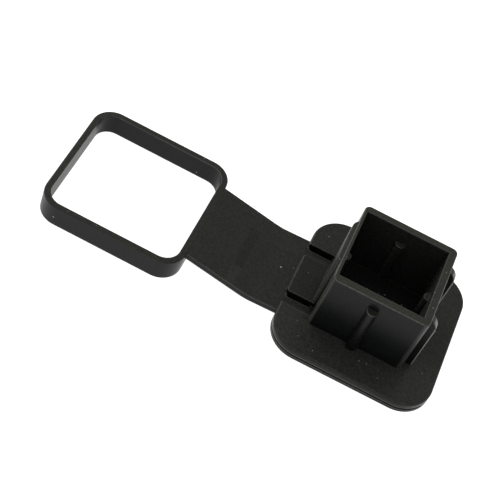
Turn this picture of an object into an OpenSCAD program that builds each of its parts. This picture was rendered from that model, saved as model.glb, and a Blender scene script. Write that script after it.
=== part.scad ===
// Receiver cover: one soft rubber moulding.
// A flange closes the mouth of a square receiver tube, a hollow ribbed plug
// grips the inside of the tube, and a flat strap ties the cover to a
// rounded square collar that stays round the outside of the tube.
//
// Frame: millimetres, +Z up, outer face of the flange on the floor (z = 0),
// origin on the axis of the plug, +X from the collar to the plug.

/* [Flange] */
// Distance from the plug axis to the strap side of the flange
flange_left = 37.6; // [34:0.1:44]
// Distance from the plug axis to the free side of the flange
flange_right = 41.3; // [36:0.1:48]
// Half width of the flange
flange_half_y = 41.6; // [36:0.1:48]
// Thickness of the flange
flange_t = 5.8; // [5:0.1:8]
// Corner radius of the flange
flange_r = 15.5; // [10:0.5:20]
// Rounding of the flange's upper edge
flange_edge = 0.95; // [0.4:0.05:1.5]
// Height of the centre of the edge groove
groove_z = 2.3; // [1.8:0.1:2.8]
// Height of the edge groove
groove_h = 1.1; // [0.4:0.1:1.2]
// Depth of the edge groove
groove_d = 1.2; // [0.4:0.1:1.4]

/* [Plug] */
// Height of the plug's rim above the floor
rim_z = 40.95; // [36:0.05:60]
// Half width of the plug over its plain walls
plug_half = 24.1; // [23:0.1:25]
// Distance from the axis to the plug's far wall
plug_far = 25.1; // [24:0.1:25.4]
// Distance from the axis to the plug's strap side wall
plug_left = 22.6; // [22:0.1:24]
// Radius of the plug's upright corners
plug_r = 2.7; // [2:0.1:4]
// Rounding of the rim's outer edge
rim_edge = 0.7; // [0.3:0.1:1.2]
// Hollow: distance from the axis to its strap side wall
hollow_left = 20.9; // [20:0.1:21.2]
// Hollow: distance from the axis to its free side wall
hollow_right = 20.4; // [19:0.1:21]
// Hollow: distance from the axis to its near wall
hollow_near = 20.4; // [19:0.1:21]
// Hollow: distance from the axis to its far wall
hollow_far = 21.3; // [19:0.1:21.5]
// Height of the hollow's floor
hollow_floor = 6.1; // [4:0.1:8]

/* [Grip] */
// Thickness of the grip pad on the strap side
pad_t = 1.9; // [1:0.1:2.5]
// Near end of the flat part of the pad
pad_near = 10.3; // [6:0.1:12]
// Far end of the flat part of the pad
pad_far = 9.4; // [6:0.1:12]
// End radius of the pad at its far end
pad_far_r = 5.4; // [3:0.1:8]
// Radius of the outer half-round ribs
rib_r = 2.65; // [2:0.05:3]
// Height of the outer ribs above the wall
rib_out = 3.3; // [2.7:0.1:3.6]
// Level of the tops of the outer ribs
rib_top = 34.3; // [28:0.1:38]
// Distance of all the ribs' centre line from the plug's axis
rib_shift = 0.5; // [0:0.1:1.5]
// Radius of the inner half-round ribs
inner_rib_r = 2.4; // [1.5:0.1:3]
// Level of the tops of the inner ribs
inner_rib_top = 31.6; // [26:0.1:36]
// How far the fins stand out of the wall
fin_out = 3.8; // [3:0.1:5]
// Thickness of the fins
fin_t = 3.2; // [2:0.1:4]
// Rounding of the fins' outer edges
fin_edge = 0.6; // [0.3:0.1:0.9]
// Centre line of the far fin
fin_far_y = 13.0; // [9:0.1:18]
// Centre line of the near fin
fin_near_y = 17.4; // [9:0.1:18]
// Radius of the arc that rounds off the top of a fin
fin_top_r = 7.6; // [5:0.1:10]

/* [Strap root] */
// Half width of the tongue between the two windows
tongue_half = 12.0; // [9:0.1:14]
// Corner radius at the end of the tongue
tongue_r = 1.9; // [0.5:0.1:3]
// Distance from the axis to the outer side of each window
window_out = 19.4; // [17:0.1:21]
// Width of the slot along the window's far side
slot_w = 1.7; // [1:0.1:3]
// Width of the near slot at the plug
slot_end_w = 1.4; // [0.3:0.1:2]
// Height of the low rim round each slot
slot_rim = 0.3; // [0.1:0.1:0.8]
// Width of the low rim round each slot
slot_rim_w = 0.8; // [0.4:0.1:1]
// Level of the slots' floor
slot_floor = 0.8; // [0.6:0.1:1.6]

/* [Strap] */
// Half width of the strap
strap_half = 23.0; // [20:0.05:24]
// Thickness of the strap
strap_t = 3.15; // [2.5:0.05:4]
// Where the strap starts to rise, measured from the plug axis
rise_start = 49.4; // [44:0.1:56]
// Where the strap reaches the collar's upper level
rise_end = 89.6; // [86:0.1:96]
// Bend radius of the strap's centre line
bend_r = 28.5; // [10:0.5:40]

/* [Collar] */
// Clear length of the collar along X
ring_clear_x = 64.3; // [60:0.1:68]
// Clear width of the collar along Y
ring_clear_y = 63.1; // [60:0.1:68]
// Wall thickness of the collar
ring_wall = 3.1; // [2:0.1:4]
// Height of the collar
ring_h = 11.3; // [9:0.1:16]
// Inner corner radius of the collar
ring_r = 7.6; // [4:0.1:12]
// Distance from the plug axis to the collar's inner wall
ring_near_x = 87.8; // [80:0.1:91]
// Sideways set of the collar against the plug axis
ring_dy = -1.0; // [-2:0.1:2]
// Turn of the collar about its own centre, in degrees
ring_turn = -0.5; // [-1:0.1:1]
// Rounding of the collar's upper edges
ring_edge = 0.5; // [0.2:0.1:0.8]

/* [Hidden] */
$fn = 96;

ring_cx = -(ring_near_x + ring_clear_x / 2);
ring_or = ring_r + ring_wall;
// the strap's bend: two arcs of bend_r joined by a straight ramp
rise_w = rise_end - rise_start;
rise_h = ring_h - strap_t;
bend_a = atan2(rise_w, 2 * bend_r - rise_h)
       - acos(2 * bend_r / sqrt(rise_w * rise_w + pow(2 * bend_r - rise_h, 2)));
ramp_l = (rise_w - 2 * bend_r * sin(bend_a)) / cos(bend_a);

// ---------- helpers ----------

// rounded rectangle from (x0, y0) to (x1, y1)
module rrect(x0, x1, y0, y1, r) {
    translate([x0 + r, y0]) square([x1 - x0 - 2 * r, y1 - y0]);
    translate([x0, y0 + r]) square([x1 - x0, y1 - y0 - 2 * r]);
    for (x = [x0 + r, x1 - r]) for (y = [y0 + r, y1 - r])
        translate([x, y]) circle(r = r);
}

// upright section from a to b, height h, both upper corners rounded by e
module soft_section(a, b, h, e) {
    translate([a, 0]) square([b - a, h - e]);
    translate([a + e, 0]) square([b - a - 2 * e, h]);
    translate([a + e, h - e]) circle(r = e);
    translate([b - e, h - e]) circle(r = e);
}

// block on z = 0 with upright corners of radius r and upper edge of radius e
module soft_block(x0, x1, y0, y1, r, h, e) {
    translate([0, y1 - r, 0]) rotate([90, 0, 0])
        linear_extrude(height = y1 - y0 - 2 * r) soft_section(x0, x1, h, e);
    translate([x0 + r, 0, 0]) rotate([90, 0, 90])
        linear_extrude(height = x1 - x0 - 2 * r) soft_section(y0, y1, h, e);
    for (x = [x0 + r, x1 - r]) for (y = [y0 + r, y1 - r])
        translate([x, y, 0]) rotate_extrude()
            intersection() {
                soft_section(-r, r, h, e);
                square([r, h]);
            }
}

// ---------- flange ----------

module flange() {
    difference() {
        soft_block(-flange_left, flange_right, -flange_half_y, flange_half_y,
                   flange_r, flange_t, flange_edge);
        // moulded groove round the edge
        translate([0, 0, groove_z - groove_h / 2]) linear_extrude(height = groove_h)
            difference() {
                rrect(-flange_left - 2, flange_right + 2, -flange_half_y - 2,
                      flange_half_y + 2, flange_r + 2);
                rrect(-flange_left + groove_d, flange_right - groove_d,
                      -flange_half_y + groove_d, flange_half_y - groove_d,
                      flange_r - groove_d);
            }
        windows();
    }
}

// the two windows beside the tongue, down to the strap's upper face
module windows() {
    for (s = [-1, 1])
        difference() {
            translate([-flange_left - 2, s > 0 ? tongue_half - tongue_r : -window_out, strap_t])
                cube([flange_left + 2 - plug_left + 0.6,
                      window_out - tongue_half + tongue_r, flange_t]);
            translate([0, 0, strap_t - 1]) linear_extrude(height = flange_t + 2)
                rrect(-flange_left, -10, -tongue_half, tongue_half, tongue_r);
        }
}

// ---------- plug ----------

module plug() {
    difference() {
        union() {
            translate([0, 0, strap_t])
                soft_block(-plug_left, plug_half, -plug_half, plug_far, plug_r,
                           rim_z - strap_t, rim_edge);
            pad();
        }
        translate([-hollow_left, -hollow_near, hollow_floor])
            cube([hollow_left + hollow_right, hollow_near + hollow_far, rim_z]);
    }
    inner_ribs();
    outer_ribs();
    fins();
}

// flat grip pad on the strap side, full height, rounded ends
module pad() {
    x0 = -plug_left - pad_t;
    translate([0, 0, strap_t]) linear_extrude(height = rim_z - strap_t - 0.25)
        intersection() {
            union() {
                translate([x0, -pad_near]) square([pad_t + 1, pad_near + pad_far]);
                translate([x0 + pad_t, -pad_near]) circle(r = pad_t);
                translate([x0 + pad_far_r, pad_far]) circle(r = pad_far_r);
            }
            translate([x0, -plug_half + plug_r]) square([pad_t + 1, 2 * plug_half - 2 * plug_r]);
        }
}

// half-round ribs in the middle of the near and far outer walls
module outer_ribs() {
    for (s = [-1, 1])
        translate([-rib_shift, s > 0 ? plug_far : -plug_half, strap_t]) linear_extrude(height = rib_top - strap_t) {
            translate([0, s * (rib_out - rib_r)]) circle(r = rib_r);
            translate([-rib_r, s > 0 ? -1 : -(rib_out - rib_r)])
                square([2 * rib_r, 1 + rib_out - rib_r]);
        }
}

// half-round ribs in the middle of the four walls of the hollow
module inner_ribs() {
    h = inner_rib_top - hollow_floor + 1;
    intersection() {
        translate([0, 0, hollow_floor - 1]) {
            translate([-rib_shift, hollow_far, 0]) cylinder(r = inner_rib_r, h = h);
            translate([-rib_shift, -hollow_near, 0]) cylinder(r = inner_rib_r, h = h);
            translate([-hollow_left, 0, 0]) cylinder(r = inner_rib_r, h = h);
            translate([hollow_right, 0, 0]) cylinder(r = inner_rib_r, h = h);
        }
        translate([-hollow_left - 1, -hollow_near - 1, hollow_floor - 1])
            cube([hollow_left + hollow_right + 2, hollow_near + hollow_far + 2, 40]);
    }
}

// two upright fins on the free side, arched at the top
module fins() {
    z0 = rim_z - rim_edge - sqrt(pow(fin_top_r, 2) - pow(fin_top_r - fin_out, 2));
    for (y = [-fin_near_y, fin_far_y])
        intersection() {
            translate([plug_half, y + fin_t, 0]) rotate([90, 0, 0])
                linear_extrude(height = 2 * fin_t) {
                    translate([-1, strap_t]) square([fin_out + 1, z0 - strap_t]);
                    translate([-1, z0 - 1]) intersection() {
                        translate([1 + fin_out - fin_top_r, 1]) circle(r = fin_top_r);
                        square([fin_out + 1, fin_top_r + 1]);
                    }
                }
            translate([plug_half, y, 0]) linear_extrude(height = rim_z)
                rrect(-1 - fin_edge, fin_out, -fin_t / 2, fin_t / 2, fin_edge);
        }
}

// ---------- strap ----------

// side view of the strap, s measured from the plug axis towards the collar
module strap_section() {
    ri = bend_r - strap_t / 2;
    ro = bend_r + strap_t / 2;
    n = 12;
    c1 = [rise_start, strap_t / 2 + bend_r];
    c2 = [rise_end, ring_h - strap_t / 2 - bend_r];
    under = [for (i = [0 : n]) let (a = bend_a * i / n) c1 + ro * [sin(a), -cos(a)]];
    under2 = [for (i = [0 : n]) let (a = bend_a * (1 - i / n)) c2 + ri * [-sin(a), cos(a)]];
    over2 = [for (i = [0 : n]) let (a = bend_a * i / n) c2 + ro * [-sin(a), cos(a)]];
    over = [for (i = [0 : n]) let (a = bend_a * (1 - i / n)) c1 + ri * [sin(a), -cos(a)]];
    polygon(concat([[0, 0]], under, under2, over2, over, [[0, strap_t]]));
}

module strap() {
    x_end = -ring_near_x + 0.5;
    intersection() {
        mirror([1, 0, 0]) translate([0, 40, 0]) rotate([90, 0, 0])
            linear_extrude(height = 80) strap_section();
        linear_extrude(height = ring_h + 5)
            polygon([[x_end, ring_dy - 0.5 - strap_half], [x_end, ring_dy - 0.5 + strap_half],
                     [-flange_left, strap_half], [-plug_left + 4, strap_half],
                     [-plug_left + 4, -strap_half], [-flange_left, -strap_half]]);
    }
}

// plan of one slot grown by g: round end towards the strap, width w1 at the plug
module slot_plan(y, w1, g) {
    x0 = -flange_left + 1;
    x1 = -plug_left - pad_t;
    polygon(concat([[x0 - g, y]],
        [for (a = [0 : 10 : 90])
            [x0 + slot_w - (slot_w + g) * cos(a), y - (slot_w + g) * sin(a)]],
        [[x1, y - w1 - g], [x1, y]]));
}

// narrow blind slots in the strap along the far side of each window;
// the near one narrows towards the plug
module slots() {
    translate([0, 0, slot_floor]) linear_extrude(height = strap_t) {
        slot_plan(-tongue_half, slot_end_w, 0);
        slot_plan(window_out, slot_w, 0);
    }
}

// low raised rims round the slots
module slot_rims() {
    translate([0, 0, strap_t - 0.5]) linear_extrude(height = 0.5 + slot_rim) {
        slot_plan(-tongue_half, slot_end_w, slot_rim_w);
        slot_plan(window_out, slot_w, slot_rim_w);
    }
}

// ---------- collar ----------

module collar() {
    w = ring_wall;
    hx = ring_clear_x / 2;
    hy = ring_clear_y / 2;
    translate([ring_cx, ring_dy, 0]) rotate(ring_turn)
        difference() {
            soft_block(-hx - w, hx + w, -hy - w, hy + w, ring_or, ring_h, ring_edge);
            translate([0, 0, -1]) linear_extrude(height = ring_h + 2)
                rrect(-hx, hx, -hy, hy, ring_r);
        }
}

module hitch_cover() {
    color([0.05, 0.05, 0.05])
        difference() {
            union() {
                flange();
                strap();
                slot_rims();
                plug();
                collar();
            }
            slots();
        }
}

hitch_cover();
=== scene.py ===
import math
import bpy
import numpy as np
from mathutils import Matrix, Vector

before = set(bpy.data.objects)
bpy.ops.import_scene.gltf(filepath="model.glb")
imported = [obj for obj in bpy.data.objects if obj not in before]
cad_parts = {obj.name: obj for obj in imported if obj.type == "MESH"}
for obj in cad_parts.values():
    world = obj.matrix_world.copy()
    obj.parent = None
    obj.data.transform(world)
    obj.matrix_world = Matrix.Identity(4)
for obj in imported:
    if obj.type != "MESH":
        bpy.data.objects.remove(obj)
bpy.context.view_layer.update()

MM = 0.001


# dust specks: place on the surface and radius, millimetres
SPECKS = [
    (-145.4, -35.2, 5.0, 0.38), (-100.2, 32.3, 11.3, 0.20), (-101.0, 30.4, 2.2, 0.28),
    (-44.5, 0.6, 3.2, 0.46), (-30.6, 28.9, 5.8, 0.28), (-39.1, 3.5, 3.2, 0.18),
    (-32.0, 2.9, 5.8, 0.18), (-15.3, -36.7, 5.8, 0.20), (5.5, -30.0, 5.8, 0.24),
    (22.2, 9.5, 41.0, 0.22), (20.5, -4.5, 41.0, 0.28), (22.3, -13.1, 41.0, 0.24),
    (4.5, 11.6, 6.1, 0.32), (13.6, 10.8, 6.1, 0.32), (-27.1, -25.4, 5.8, 0.16),
    (-20.9, -9.3, 41.0, 0.28), (9.0, -29.5, 5.8, 0.20), (-70.0, 9.0, 7.0, 0.20),
    (-6.5, 9.6, 6.1, 0.26), (-4.0, 10.4, 6.1, 0.22), (-1.2, 8.8, 6.1, 0.28),
    (1.6, 10.9, 6.1, 0.20), (6.2, 9.2, 6.1, 0.22), (9.4, 10.2, 6.1, 0.24),
    (-57.0, -8.0, 3.6, 0.18), (-66.0, -14.5, 5.4, 0.16), (-78.0, 4.0, 8.2, 0.18),
    (-24.0, -33.0, 5.8, 0.18), (16.0, -34.0, 5.8, 0.18), (34.0, -20.0, 5.8, 0.20),
    (33.0, 6.0, 5.8, 0.16), (-126.0, -33.8, 11.3, 0.18), (-140.0, -34.0, 11.3, 0.16),
]


# ---------------------------------------------------------------- material

def rubber_material(name, seed):
    """Black moulded rubber: fine grain, dust and painted light on faces that look up,
    painted highlights on edges, corners and fins, painted light and shade inside the plug, a few grey
    smudges."""
    mat = bpy.data.materials.new(name)
    mat.use_nodes = True
    nt = mat.node_tree
    nt.nodes.clear()
    N, L = nt.nodes, nt.links

    def node(kind, **kw):
        n = N.new(kind)
        for k, v in kw.items():
            setattr(n, k, v)
        return n

    out = node("ShaderNodeOutputMaterial")
    bsdf = node("ShaderNodeBsdfPrincipled")
    L.new(bsdf.outputs[0], out.inputs[0])
    tc = node("ShaderNodeTexCoord")
    geo = node("ShaderNodeNewGeometry")

    def noise(scale, detail, rough, stretch=(1, 1, 1), off=0.0):
        mp = node("ShaderNodeMapping")
        mp.inputs["Scale"].default_value = stretch
        mp.inputs["Location"].default_value = (off + seed, off * 0.7, off * 0.3)
        L.new(tc.outputs["Object"], mp.inputs[0])
        n = node("ShaderNodeTexNoise")
        n.inputs["Scale"].default_value = scale
        n.inputs["Detail"].default_value = detail
        n.inputs["Roughness"].default_value = rough
        L.new(mp.outputs[0], n.inputs["Vector"])
        return n.outputs["Fac"]

    def ramp(src, stops):
        r = node("ShaderNodeValToRGB")
        cr = r.color_ramp
        while len(cr.elements) < len(stops):
            cr.elements.new(0.5)
        for e, (p, c) in zip(cr.elements, stops):
            e.position = p
            e.color = c if len(c) == 4 else (*c, 1)
        L.new(src, r.inputs[0])
        return r.outputs[0]

    def mix(fac, a, b, mode="MIX"):
        m = node("ShaderNodeMix", data_type="RGBA", blend_type=mode)
        for sock, v in ((m.inputs[0], fac), (m.inputs[6], a), (m.inputs[7], b)):
            if hasattr(v, "is_output"):
                L.new(v, sock)
            elif isinstance(v, tuple):
                sock.default_value = (*v, 1)
            else:
                sock.default_value = v
        return m.outputs[2]

    def math_(op, a, b=None):
        m = node("ShaderNodeMath", operation=op)
        for i, v in enumerate((a, b)):
            if v is None:
                continue
            if hasattr(v, "is_output"):
                L.new(v, m.inputs[i])
            else:
                m.inputs[i].default_value = v
        return m.outputs[0]

    # base colour: nearly black, slightly warmer and paler on top, partly dust and partly painted light on
    # the faces that look up
    sep = node("ShaderNodeSeparateXYZ")
    L.new(geo.outputs["True Normal"], sep.inputs[0])
    up = math_("MAXIMUM", sep.outputs[2], 0.0)
    side = mix(up, (0.0032, 0.0034, 0.0038), (0.0155, 0.0156, 0.0136))
    cloud = ramp(noise(38, 5, 0.55), [(0.30, (0.95, 0.95, 0.95)), (0.75, (1.06, 1.06, 1.05))])
    col = mix(1.0, side, cloud, "MULTIPLY")
    # fine dust grain
    dust = ramp(noise(1500, 2, 0.5, off=3.0), [(0.52, (0, 0, 0)), (0.74, (1, 1, 1))])
    dust_f = math_("MULTIPLY", math_("MULTIPLY", dust, math_("ADD", math_("MULTIPLY", up, 0.8), 0.2)), 0.22)
    col = mix(dust_f, col, (0.050, 0.050, 0.045))
    # the rim of the plug is a little paler than the rest
    pos = node("ShaderNodeSeparateXYZ")
    L.new(tc.outputs["Object"], pos.inputs[0])
    rim = math_("MULTIPLY", math_("GREATER_THAN", pos.outputs[2], 0.0403), up)
    col = mix(math_("MULTIPLY", rim, 0.22), col, (0.050, 0.051, 0.043))
    # painted highlight along the rounded edges of the rim
    rim_edge_highlight = math_("MULTIPLY", math_("GREATER_THAN", pos.outputs[2], 0.0401),
                     math_("MULTIPLY", math_("LESS_THAN", up, 0.93), math_("GREATER_THAN", up, 0.15)))
    col = mix(math_("MULTIPLY", rim_edge_highlight, 0.75), col, (0.072, 0.073, 0.066))
    # the flange's top is painted greyer than the strap, most on the near side: painted light
    flange_top_light = math_("MULTIPLY", math_("GREATER_THAN", pos.outputs[2], 0.0050),
                 math_("LESS_THAN", pos.outputs[2], 0.0061))
    flange_top_light = math_("MULTIPLY", flange_top_light, math_("MULTIPLY", up, math_("GREATER_THAN", math_("ABSOLUTE", pos.outputs[1]), 0.0125)))
    near_side_light = math_("MINIMUM", math_("MAXIMUM", math_("SUBTRACT", 0.5, math_("MULTIPLY", pos.outputs[1], 20.0)), 0.0), 1.0)
    col = mix(math_("MULTIPLY", math_("MULTIPLY", flange_top_light, near_side_light), 0.30), col, (0.034, 0.034, 0.034))
    # the tongue is a little darker than the strap
    root = math_("MULTIPLY", math_("LESS_THAN", pos.outputs[0], -0.0226),
                 math_("LESS_THAN", math_("ABSOLUTE", pos.outputs[1]), 0.0121))
    root = math_("MULTIPLY", root, math_("MULTIPLY", up, math_("GREATER_THAN", pos.outputs[2], 0.0050)))
    root = math_("MULTIPLY", root, math_("LESS_THAN", pos.outputs[2], 0.0061))
    col = mix(math_("MULTIPLY", root, 0.45), col, (0.006, 0.006, 0.006))
    # inside the plug the walls are painted paler as painted light, most where they face -X, and the floor
    # is painted darker as painted shade
    box = math_("MULTIPLY",
                math_("LESS_THAN", math_("ABSOLUTE", pos.outputs[0]), 0.0210),
                math_("LESS_THAN", math_("ABSOLUTE", math_("SUBTRACT", pos.outputs[1], 0.0004)), 0.0210))
    inside = math_("MULTIPLY", box, math_("GREATER_THAN", pos.outputs[2], 0.0060))
    hollow_floor_shade = math_("MULTIPLY", inside, math_("LESS_THAN", pos.outputs[2], 0.0064))
    inner_wall_light = math_("MAXIMUM", math_("MULTIPLY", sep.outputs[0], -1.0), 0.0)
    col = mix(math_("MULTIPLY", math_("MULTIPLY", inside, inner_wall_light), 0.8), col, (0.050, 0.050, 0.047))
    col = mix(math_("MULTIPLY", inside, 0.6), col, (0.020, 0.020, 0.019))
    col = mix(math_("MULTIPLY", hollow_floor_shade, 0.80), col, (0.0035, 0.0035, 0.0035))
    fine = ramp(noise(1100, 3, 0.7, off=37.0), [(0.30, (0.52, 0.52, 0.53)), (0.70, (1.66, 1.66, 1.54))])
    col = mix(1.0, col, fine, "MULTIPLY")
    # drawn streaks along the strap
    streak = ramp(noise(420, 3, 0.6, stretch=(0.06, 1.0, 1.0), off=7.0),
                  [(0.45, (0, 0, 0)), (0.72, (1, 1, 1))])
    streak_f = math_("MULTIPLY", math_("MULTIPLY", streak, up), 0.10)
    col = mix(streak_f, col, (0.045, 0.045, 0.040))
    # painted highlight on outer edges: close inside the solid, another face is near
    ao = node("ShaderNodeAmbientOcclusion", samples=12, inside=True, only_local=True)
    ao.inputs["Distance"].default_value = 0.0009
    near = math_("MULTIPLY", math_("SUBTRACT", 1.0, ao.outputs["AO"]), 2.4)
    edge_highlight = math_("MINIMUM", math_("MAXIMUM", math_("SUBTRACT", near, 0.25), 0.0), 1.0)
    edge_highlight_n = math_("MULTIPLY", edge_highlight, math_("ADD", noise(180, 3, 0.6, off=11.0), 0.25))
    # the painted highlight is strongest on the edges that look towards the strap and the near side
    bev = node("ShaderNodeBevel", samples=6)
    bev.inputs["Radius"].default_value = 0.0008
    toward = node("ShaderNodeVectorMath", operation="DOT_PRODUCT")
    L.new(bev.outputs[0], toward.inputs[0])
    toward.inputs[1].default_value = (-0.90, -0.70, 0.0)
    lit = math_("ADD", math_("MULTIPLY", math_("MAXIMUM", toward.outputs["Value"], 0.0), 1.7), 0.30)
    col = mix(math_("MINIMUM", math_("MULTIPLY", edge_highlight_n, lit), 1.0), col, (0.085, 0.086, 0.076))
    # the strap side of the plug is painted paler: painted light on the faces that look towards the strap
    left_face_light = math_("MINIMUM", math_("MAXIMUM", math_("MULTIPLY", sep.outputs[0], -1.3), 0.0), 1.0)
    tall = math_("MULTIPLY", math_("GREATER_THAN", pos.outputs[2], 0.0062),
                 math_("GREATER_THAN", pos.outputs[0], -0.030))
    tall = math_("MULTIPLY", tall, math_("LESS_THAN", pos.outputs[0], -0.0215))
    col = mix(math_("MULTIPLY", math_("MULTIPLY", left_face_light, tall), 0.62), col, (0.060, 0.060, 0.052))
    # painted highlight on the upright corner of the plug on the near, free side
    corner_highlight_facing = math_("MULTIPLY", math_("MAXIMUM", sep.outputs[0], 0.0),
               math_("MAXIMUM", math_("MULTIPLY", sep.outputs[1], -1.0), 0.0))
    corner_highlight_zone = math_("MULTIPLY", math_("GREATER_THAN", pos.outputs[0], 0.0205),
                 math_("LESS_THAN", pos.outputs[1], -0.0205))
    corner_highlight_zone = math_("MULTIPLY", corner_highlight_zone, math_("MULTIPLY", math_("GREATER_THAN", pos.outputs[2], 0.0062),
                                         math_("LESS_THAN", pos.outputs[0], 0.0245)))
    col = mix(math_("MINIMUM", math_("MULTIPLY", math_("MULTIPLY", corner_highlight_facing, corner_highlight_zone), 2.2), 0.85),
              col, (0.030, 0.030, 0.028))
    # painted highlight on the outer edges of the fins
    fin_highlight_zone = math_("MULTIPLY", math_("GREATER_THAN", pos.outputs[0], 0.0256),
                math_("GREATER_THAN", pos.outputs[2], 0.0064))
    fin_highlight_turn = math_("ADD", math_("ABSOLUTE", sep.outputs[1]), math_("MULTIPLY", up, 0.5))
    fin_highlight_turn = math_("MULTIPLY", math_("MULTIPLY", math_("MAXIMUM", sep.outputs[0], 0.0), fin_highlight_turn), 2.2)
    col = mix(math_("MULTIPLY", fin_highlight_zone, math_("MINIMUM", fin_highlight_turn, 0.9)), col, (0.190, 0.190, 0.180))
    # grey specks of dust, one by one
    for (x, y, z, r) in SPECKS:
        d = node("ShaderNodeVectorMath", operation="DISTANCE")
        L.new(tc.outputs["Object"], d.inputs[0])
        d.inputs[1].default_value = (x * MM, y * MM, z * MM)
        hit = math_("LESS_THAN", d.outputs["Value"], r * MM)
        col = mix(math_("MULTIPLY", hit, 0.85), col, (0.30, 0.30, 0.28))
    L.new(col, bsdf.inputs["Base Color"])

    rough = ramp(noise(60, 4, 0.6, off=17.0), [(0.3, (0.29, 0.29, 0.29)), (0.7, (0.38, 0.38, 0.38))])
    L.new(rough, bsdf.inputs["Roughness"])
    bsdf.inputs["IOR"].default_value = 1.50
    bsdf.inputs["Specular IOR Level"].default_value = 0.14

    # surface grain
    grain = noise(1500, 4, 0.6, off=23.0)
    soft = noise(220, 3, 0.5, off=29.0)
    h = math_("ADD", math_("MULTIPLY", grain, 0.5), math_("MULTIPLY", soft, 1.0))
    bump = node("ShaderNodeBump")
    bump.inputs["Strength"].default_value = 0.35
    bump.inputs["Distance"].default_value = 0.00006
    L.new(h, bump.inputs["Height"])
    # moulded edges are a little round
    soft_edge = node("ShaderNodeBevel", samples=8)
    soft_edge.inputs["Radius"].default_value = 0.00045
    L.new(soft_edge.outputs[0], bump.inputs["Normal"])
    L.new(bump.outputs[0], bsdf.inputs["Normal"])
    return mat


rubber = rubber_material("rubber_black", 0.0)

# ---------------------------------------------------------------- the part

cad = bpy.data.objects["hitch_cover"]
cad.data.materials.clear()
cad.data.materials.append(rubber)
# ---------------------------------------------------------------- camera

S = 0.95 * MM


def fitted_camera():
    f = 1352.89
    rot = (2.3745709, 0.5793391, 0.1852585)
    t = (55.693095, 31.887852, 661.469409)
    th = math.sqrt(sum(c * c for c in rot))
    R = Matrix.Rotation(th, 3, Vector(rot) / th)
    C = -(R.transposed() @ Vector(t))
    # camera axes: x right, y down, z forward -> Blender x right, y up, -z forward
    M = R.transposed() @ Matrix(((1, 0, 0), (0, -1, 0), (0, 0, -1)))
    cam = bpy.data.cameras.new("cam")
    cam.sensor_fit = "HORIZONTAL"
    cam.sensor_width = 36.0
    cam.lens = f / 500.0 * 36.0
    cam.clip_start = 0.01
    cam.clip_end = 20.0
    ob = bpy.data.objects.new("cam", cam)
    bpy.context.scene.collection.objects.link(ob)
    mw = M.to_4x4()
    mw.translation = C * S
    ob.matrix_world = mw
    return ob


bpy.context.scene.camera = fitted_camera()


# ---------------------------------------------------------------- studio

def emission_world(strength, color):
    w = bpy.data.worlds.new("studio")
    bpy.context.scene.world = w
    w.use_nodes = True
    nt = w.node_tree
    nt.nodes.clear()
    bg = nt.nodes.new("ShaderNodeBackground")
    bg.inputs[0].default_value = (*color, 1)
    bg.inputs[1].default_value = strength
    o = nt.nodes.new("ShaderNodeOutputWorld")
    nt.links.new(bg.outputs[0], o.inputs[0])


emission_world(0.76, (1.0, 1.0, 1.0))
bpy.context.scene.view_settings.view_transform = "Standard"

FLOOR_Z = -0.00015
floor_mat = bpy.data.materials.new("floor_pale")
floor_mat.use_nodes = True
fb = floor_mat.node_tree.nodes["Principled BSDF"]
fb.inputs["Base Color"].default_value = (0.45, 0.45, 0.45, 1)
fb.inputs["Roughness"].default_value = 0.9
fb.inputs["Specular IOR Level"].default_value = 0.1
fb.inputs["Emission Color"].default_value = (1, 1, 1, 1)
fb.inputs["Emission Strength"].default_value = 1.0
# seen from below, the floor lets the part's underside show
fl = floor_mat.node_tree
fl_geo = fl.nodes.new("ShaderNodeNewGeometry")
fl_clear = fl.nodes.new("ShaderNodeBsdfTransparent")
fl_mix = fl.nodes.new("ShaderNodeMixShader")
fl.links.new(fl_geo.outputs["Backfacing"], fl_mix.inputs[0])
fl.links.new(fb.outputs[0], fl_mix.inputs[1])
fl.links.new(fl_clear.outputs[0], fl_mix.inputs[2])
fl.links.new(fl_mix.outputs[0], fl.nodes["Material Output"].inputs["Surface"])
me = bpy.data.meshes.new("floor")
me.from_pydata([(-4, -4, FLOOR_Z), (4, -4, FLOOR_Z), (4, 4, FLOOR_Z), (-4, 4, FLOOR_Z)], [], [(0, 1, 2, 3)])
floor = bpy.data.objects.new("floor", me)
me.materials.append(floor_mat)
bpy.context.scene.collection.objects.link(floor)


def area(name, loc, target, size, power, color=(1, 1, 1)):
    d = bpy.data.lights.new(name, "AREA")
    d.shape = "RECTANGLE"
    d.size, d.size_y = size
    d.energy = power
    d.color = color
    o = bpy.data.objects.new(name, d)
    o.location = loc
    direction = Vector(target) - Vector(loc)
    o.rotation_euler = direction.to_track_quat("-Z", "Y").to_euler()
    bpy.context.scene.collection.objects.link(o)
    return o


area("key", (-0.85, 0.87, 0.62), (-0.05, 0, 0), (0.6, 0.35), 5)
